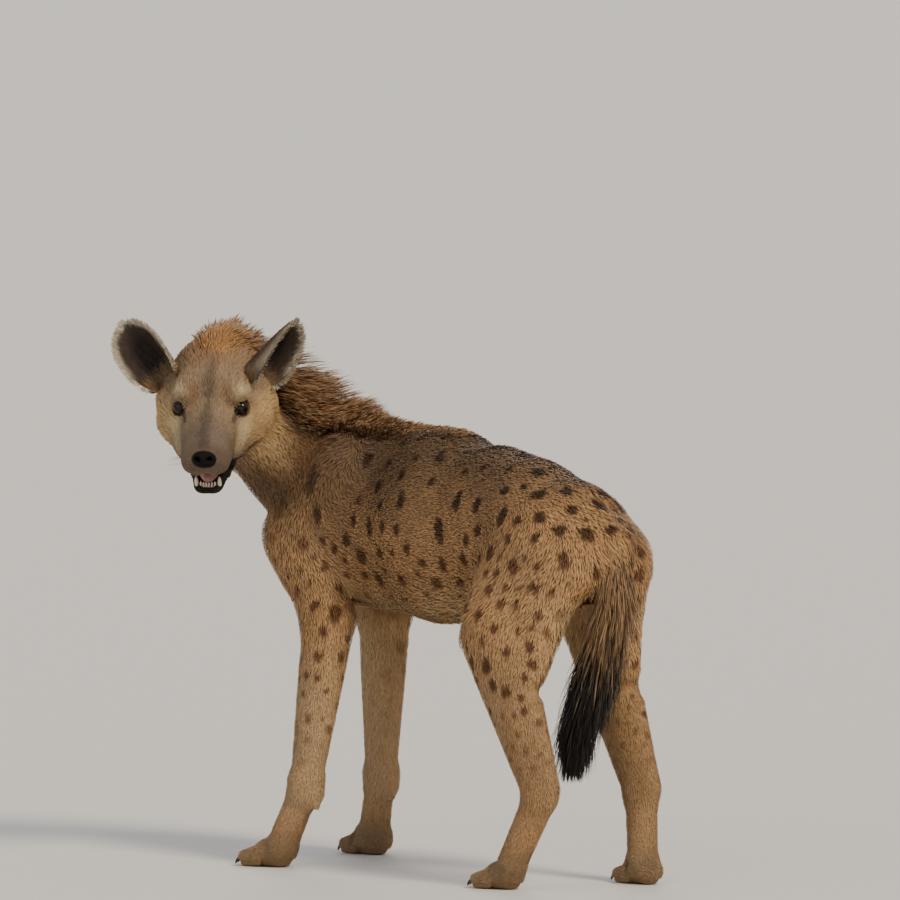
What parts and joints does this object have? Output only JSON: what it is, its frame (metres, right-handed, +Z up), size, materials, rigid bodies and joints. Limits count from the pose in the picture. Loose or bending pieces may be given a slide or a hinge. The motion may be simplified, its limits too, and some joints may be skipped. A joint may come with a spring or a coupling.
{
  "type": "spotted hyena model",
  "caption": "Life-size still model of a spotted hyena standing on all fours and looking back over its left shoulder, in parts such as head, neck, torso, legs and tail.",
  "frame": {"origin": "centre of the bounding box in X and Y, on the floor under the soles", "axes": "+Z up, the body faces -Y, the animal's left side is +X"},
  "size_m": [0.5385, 0.9492, 0.9341],
  "materials": {
    "coat": "short dense fur, golden tan with dark spots",
    "face_coat": "short fur, grey brown",
    "mane": "long coarse hair, reddish brown",
    "tail_brush": "long coarse hair, black brown",
    "bare_skin": "moist black skin",
    "eye": "wet dark brown eye",
    "tongue": "moist pink skin"
  },
  "bodies": {
    "root": {"torso": "coat", "neck": "mane", "head": "face_coat", "lower_jaw": "bare_skin", "nose": "bare_skin", "tongue": "tongue", "ear_left": "coat", "ear_right": "coat", "eye_left": "eye", "eye_right": "eye", "tail": "tail_brush", "upper_foreleg_left": "coat", "upper_foreleg_right": "coat", "forearm_left": "coat", "forearm_right": "coat", "fore_foot_left": "coat", "fore_foot_right": "coat", "thigh_left": "coat", "thigh_right": "coat", "shank_left": "coat", "shank_right": "coat", "hind_foot_left": "coat", "hind_foot_right": "coat"}
  },
  "joints": []
}
